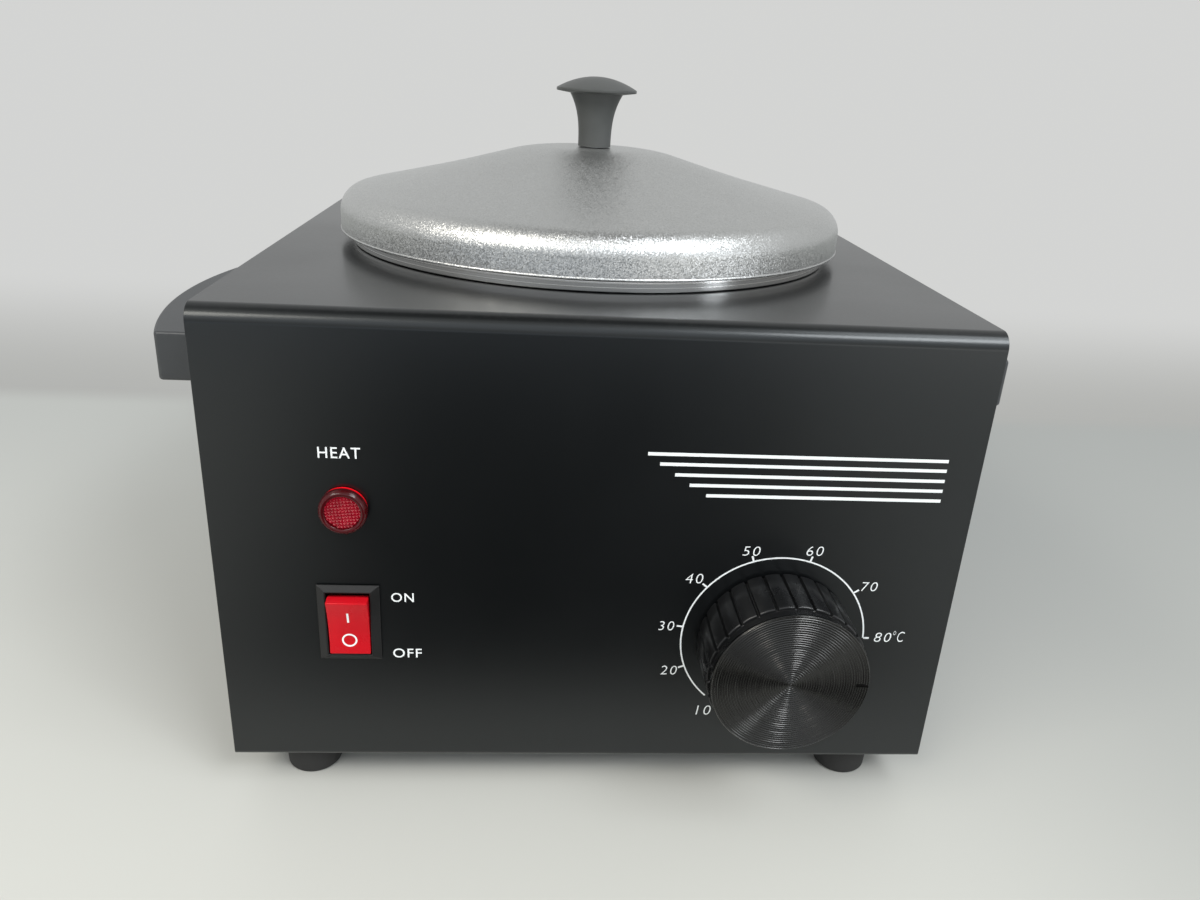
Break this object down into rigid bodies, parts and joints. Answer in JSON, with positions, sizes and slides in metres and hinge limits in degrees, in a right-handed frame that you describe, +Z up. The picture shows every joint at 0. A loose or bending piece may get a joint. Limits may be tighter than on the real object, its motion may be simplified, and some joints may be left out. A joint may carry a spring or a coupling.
{
  "type": "wax warmer",
  "caption": "Countertop wax warmer: a black sheet case with side handles, a lift-out pot under a domed metal lid, a rocker switch, a pilot lamp and a thermostat dial.",
  "frame": {"origin": "centre of the bounding box's base, on the plane the feet stand on", "axes": "+X to the right seen from the front, +Y to the back, +Z up"},
  "size_m": [0.2476, 0.2116, 0.1773],
  "materials": {
    "case_coat": "satin black powder coat",
    "foot_rubber": "matt black moulded rubber",
    "zinc_steel": "bright zinc plating",
    "handle_plastic": "satin black moulding",
    "pot_metal": "polished",
    "well_metal": "plain drawn sheet",
    "lid_silver": "fine matt silver grain",
    "knob_plastic": "black moulding",
    "dial_disc_metal": "black, spun in fine circles, with a bright edge",
    "heater_mica": "mica and foil",
    "insulation_wool": "soft woven wool",
    "sensor_copper": "drawn copper",
    "fuse_metal": "plain can",
    "switch_plastic": "black moulding",
    "rocker_red": "glossy red",
    "lens_red": "clear red lens",
    "terminal_brass": "stamped",
    "ceramic_cream": "cream moulding",
    "wire_brown": "brown sleeve",
    "wire_red": "red sleeve",
    "wire_blue": "blue sleeve"
  },
  "bodies": {
    "housing": {"base_tray": "case_coat", "capillary_tube": "sensor_copper", "cord_gland": "switch_plastic", "earth_nut": "zinc_steel", "earth_stud": "zinc_steel", "foot_front_left": "foot_rubber", "foot_front_right": "foot_rubber", "foot_nut_front_left": "zinc_steel", "foot_nut_front_right": "zinc_steel", "foot_nut_rear_left": "zinc_steel", "foot_nut_rear_right": "zinc_steel", "foot_rear_left": "foot_rubber", "foot_rear_right": "foot_rubber", "foot_screw_front_left": "zinc_steel", "foot_screw_front_right": "zinc_steel", "foot_screw_rear_left": "zinc_steel", "foot_screw_rear_right": "zinc_steel", "gland_nut": "switch_plastic", "handle_left": "handle_plastic", "handle_right": "handle_plastic", "handle_screw_left_front": "zinc_steel", "handle_screw_left_rear": "zinc_steel", "handle_screw_right_front": "zinc_steel", "handle_screw_right_rear": "zinc_steel", "heater_band": "heater_mica", "heater_clamp_nut": "zinc_steel", "heater_clamp_screw": "zinc_steel", "heating_well": "well_metal", "insulation_blanket": "insulation_wool", "outer_wrap": "case_coat", "pilot_barrel": "switch_plastic", "pilot_lens": "lens_red", "pilot_nut": "switch_plastic", "sensor_bulb": "sensor_copper", "sensor_clip": "zinc_steel", "switch_frame": "switch_plastic", "switch_terminal_1": "terminal_brass", "switch_terminal_2": "terminal_brass", "terminal_block": "ceramic_cream", "terminal_block_screw": "zinc_steel", "thermal_fuse": "fuse_metal", "thermostat_body": "ceramic_cream", "thermostat_screw_left": "zinc_steel", "thermostat_screw_right": "zinc_steel", "thermostat_terminal_1": "terminal_brass", "thermostat_terminal_2": "terminal_brass", "wire_block_to_switch": "wire_brown", "wire_heater_to_block": "wire_blue", "wire_pilot_to_block": "wire_blue", "wire_switch_to_thermostat": "wire_red", "wire_thermostat_to_heater": "wire_red"},
    "pot": {"pot": "pot_metal"},
    "lid": {"lid": "lid_silver", "lid_knob": "knob_plastic", "lid_washer": "zinc_steel", "lid_screw": "zinc_steel"},
    "dial": {"dial_knob": "knob_plastic", "dial_disc": "dial_disc_metal", "thermostat_shaft": "zinc_steel"},
    "rocker": {"switch_rocker": "rocker_red"}
  },
  "joints": [
    {"name": "pot_lift", "type": "slide", "parent": "housing", "child": "pot", "axis": [0, 0, 1], "range_m": [0, 0.11]},
    {"name": "lid_lift", "type": "slide", "parent": "pot", "child": "lid", "axis": [0, 0, 1], "range_m": [0, 0.06]},
    {"name": "dial_turn", "type": "hinge", "parent": "housing", "child": "dial", "pos_m": [0.0459, -0.0867, 0.0476], "axis": [0, -1, 0], "range_deg": [0, 226]},
    {"name": "rocker_tilt", "type": "hinge", "parent": "housing", "child": "rocker", "pos_m": [-0.0596, -0.0859, 0.0512], "axis": [-1, 0, 0], "range_deg": [0, 22]}
  ]
}
